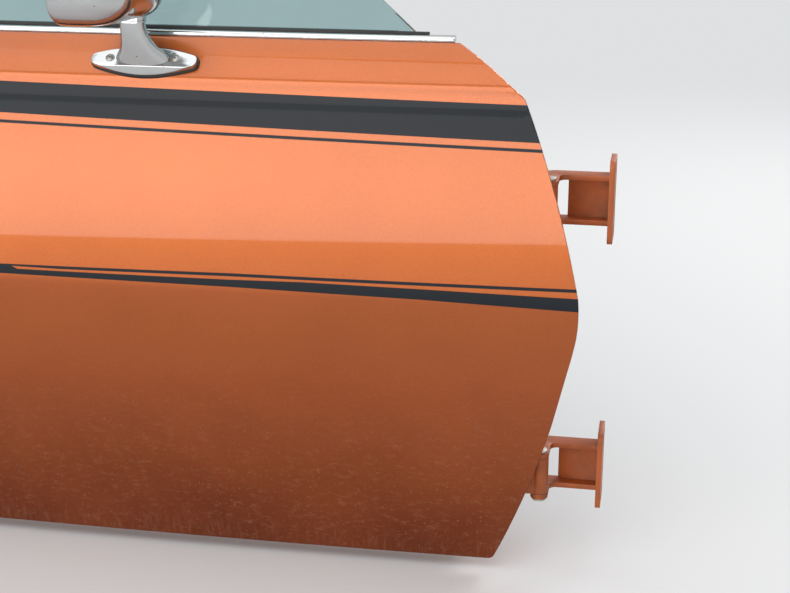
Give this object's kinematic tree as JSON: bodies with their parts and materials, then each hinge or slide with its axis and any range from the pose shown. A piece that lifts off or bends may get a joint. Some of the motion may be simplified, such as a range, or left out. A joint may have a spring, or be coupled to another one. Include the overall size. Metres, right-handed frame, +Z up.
{
  "type": "front door of a two-door muscle car",
  "caption": "Right-hand car door with a raised frameless window, chrome mirror on a pedestal, side stripes, inner trim and two hinges that bolt to the door pillar.",
  "frame": {"origin": "middle of the upper hinge's four bolt holes, on the face that meets the door pillar", "axes": "+X is the car's forward, +Y points into the car, +Z is up, with the door shut"},
  "size_m": [1.2917, 0.2974, 0.9381],
  "materials": {
    "body_paint": "burnt-orange metallic under clearcoat, satin black side stripes on the outer skin",
    "shell_paint": "same orange, thinner and less glossy inside the door's edges",
    "hinge_paint": "orange overspray on cast and forged hinge leaves",
    "bright_trim": "bright plated",
    "steel": "zinc-plated, lightly greased",
    "window": "pale tinted tempered glass",
    "reflector": "silvered mirror",
    "seal_rubber": "matt black weather rubber",
    "trim_vinyl": "black grained vinyl over padding",
    "black_moulding": "satin black paint on metal",
    "knob_plastic": "polished black plastic"
  },
  "bodies": {
    "pillar_leaves": {"upper_pillar_leaf": "hinge_paint", "lower_pillar_leaf": "hinge_paint", "upper_hinge_pin": "steel", "lower_hinge_pin": "steel"},
    "door": {"upper_door_leaf": "hinge_paint", "lower_door_leaf": "hinge_paint", "outer_skin": "body_paint", "inner_shell": "shell_paint", "belt_moulding": "bright_trim", "outer_belt_seal": "seal_rubber", "inner_belt_seal": "seal_rubber", "belt_garnish": "black_moulding", "window_glass": "window", "mirror_gasket": "seal_rubber", "mirror_base": "bright_trim", "mirror_collar": "bright_trim", "mirror_housing": "bright_trim", "mirror_glass": "reflector", "handle_escutcheon": "bright_trim", "handle_paddle": "bright_trim", "lock_cylinder": "bright_trim", "latch_case": "steel", "latch_fork": "steel", "bump_stops": "seal_rubber", "door_seal": "seal_rubber", "trim_panel": "trim_vinyl", "armrest": "trim_vinyl", "release_escutcheon": "bright_trim", "release_handle": "bright_trim", "crank_escutcheon": "bright_trim", "crank_arm": "bright_trim", "crank_knob": "knob_plastic", "lock_knob": "bright_trim"}
  },
  "joints": [
    {"name": "door_hinge", "type": "hinge", "parent": "pillar_leaves", "child": "door", "pos_m": [-0.07, -0.04, 0], "axis": [0, 0, 1], "range_deg": [0, 65]}
  ]
}
